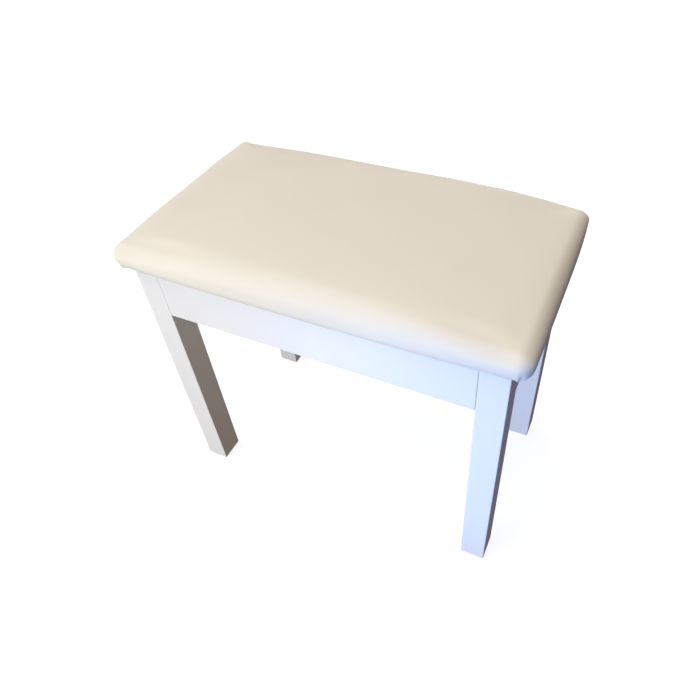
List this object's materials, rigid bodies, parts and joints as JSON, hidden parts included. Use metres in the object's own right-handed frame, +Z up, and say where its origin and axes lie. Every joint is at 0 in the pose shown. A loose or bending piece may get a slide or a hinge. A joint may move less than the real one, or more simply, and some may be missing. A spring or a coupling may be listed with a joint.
{
  "type": "piano bench",
  "caption": "Piano bench: padded vinyl lid hinged over a shallow music compartment, on straight square legs.",
  "frame": {"origin": "on the floor under the bench's centre", "axes": "+X to the player's right along the seat, -Y towards the player, +Z up"},
  "size_m": [0.585, 0.334, 0.494],
  "materials": {
    "white_paint": "satin paint on solid wood",
    "nylon": "moulded",
    "softwood": "sawn, unfinished",
    "hardboard": "white-faced hardboard",
    "zinc_steel": "bright zinc plate",
    "hinge_steel": "bright zinc plate",
    "rubber": "moulded",
    "cream_vinyl": "fine-grained faux leather, low sheen",
    "foam": "polyurethane foam",
    "plywood": "plywood",
    "dust_cloth": "spun-bonded cloth"
  },
  "bodies": {
    "frame": {"leg_front_left": "white_paint", "leg_front_right": "white_paint", "leg_rear_left": "white_paint", "leg_rear_right": "white_paint", "glide_front_left": "nylon", "glide_front_right": "nylon", "glide_rear_left": "nylon", "glide_rear_right": "nylon", "rail_front": "white_paint", "rail_rear": "white_paint", "rail_left": "white_paint", "rail_right": "white_paint", "cleat_front": "softwood", "cleat_rear": "softwood", "cleat_left": "softwood", "cleat_right": "softwood", "compartment_floor": "hardboard", "corner_plate_front_left": "zinc_steel", "corner_plate_front_right": "zinc_steel", "corner_plate_rear_left": "zinc_steel", "corner_plate_rear_right": "zinc_steel", "hanger_bolt_front_left": "zinc_steel", "hanger_bolt_front_right": "zinc_steel", "hanger_bolt_rear_left": "zinc_steel", "hanger_bolt_rear_right": "zinc_steel", "wing_nut_front_left": "zinc_steel", "wing_nut_front_right": "zinc_steel", "wing_nut_rear_left": "zinc_steel", "wing_nut_rear_right": "zinc_steel", "hinge_leaf_fixed_left": "hinge_steel", "hinge_leaf_fixed_right": "hinge_steel", "hinge_pin_left": "hinge_steel", "hinge_pin_right": "hinge_steel", "hinge_screw_fixed_left_1": "hinge_steel", "hinge_screw_fixed_left_2": "hinge_steel", "hinge_screw_fixed_right_1": "hinge_steel", "hinge_screw_fixed_right_2": "hinge_steel", "stay_plate_left": "zinc_steel", "stay_plate_right": "zinc_steel", "bumper_left": "rubber", "bumper_right": "rubber"},
    "lid": {"vinyl_cover": "cream_vinyl", "foam_pad": "foam", "lid_board": "plywood", "dust_sheet": "dust_cloth", "hinge_leaf_moving_left": "hinge_steel", "hinge_leaf_moving_right": "hinge_steel", "hinge_screw_moving_left_1": "hinge_steel", "hinge_screw_moving_left_2": "hinge_steel", "hinge_screw_moving_right_1": "hinge_steel", "hinge_screw_moving_right_2": "hinge_steel", "stay_bracket_left": "zinc_steel", "stay_bracket_right": "zinc_steel"},
    "stay_lower_left": {"stay_link_lower_left": "zinc_steel"},
    "stay_upper_left": {"stay_link_upper_left": "zinc_steel"},
    "stay_lower_right": {"stay_link_lower_right": "zinc_steel"},
    "stay_upper_right": {"stay_link_upper_right": "zinc_steel"}
  },
  "joints": [
    {"name": "lid_hinge", "type": "hinge", "parent": "frame", "child": "lid", "pos_m": [0, 0.1556, 0.4419], "axis": [-1, 0, 0], "range_deg": [0, 75]},
    {"name": "stay_lower_left_pivot", "type": "hinge", "parent": "frame", "child": "stay_lower_left", "pos_m": [-0.2474, 0.061, 0.4127], "axis": [-1, 0, 0], "range_deg": [0, 100.67]},
    {"name": "stay_upper_left_pivot", "type": "hinge", "parent": "lid", "child": "stay_upper_left", "pos_m": [-0.2451, 0.0675, 0.4321], "axis": [1, 0, 0], "range_deg": [0, 95.2]},
    {"name": "stay_lower_right_pivot", "type": "hinge", "parent": "frame", "child": "stay_lower_right", "pos_m": [0.2474, 0.061, 0.4127], "axis": [-1, 0, 0], "range_deg": [0, 100.67]},
    {"name": "stay_upper_right_pivot", "type": "hinge", "parent": "lid", "child": "stay_upper_right", "pos_m": [0.2451, 0.0675, 0.4321], "axis": [1, 0, 0], "range_deg": [0, 95.2]}
  ],
  "couplings": [
    {"joint": "stay_lower_left_pivot", "follows": "lid_hinge", "ratio": 1.341},
    {"joint": "stay_upper_left_pivot", "follows": "lid_hinge", "ratio": 1.268},
    {"joint": "stay_lower_right_pivot", "follows": "lid_hinge", "ratio": 1.341},
    {"joint": "stay_upper_right_pivot", "follows": "lid_hinge", "ratio": 1.268}
  ]
}
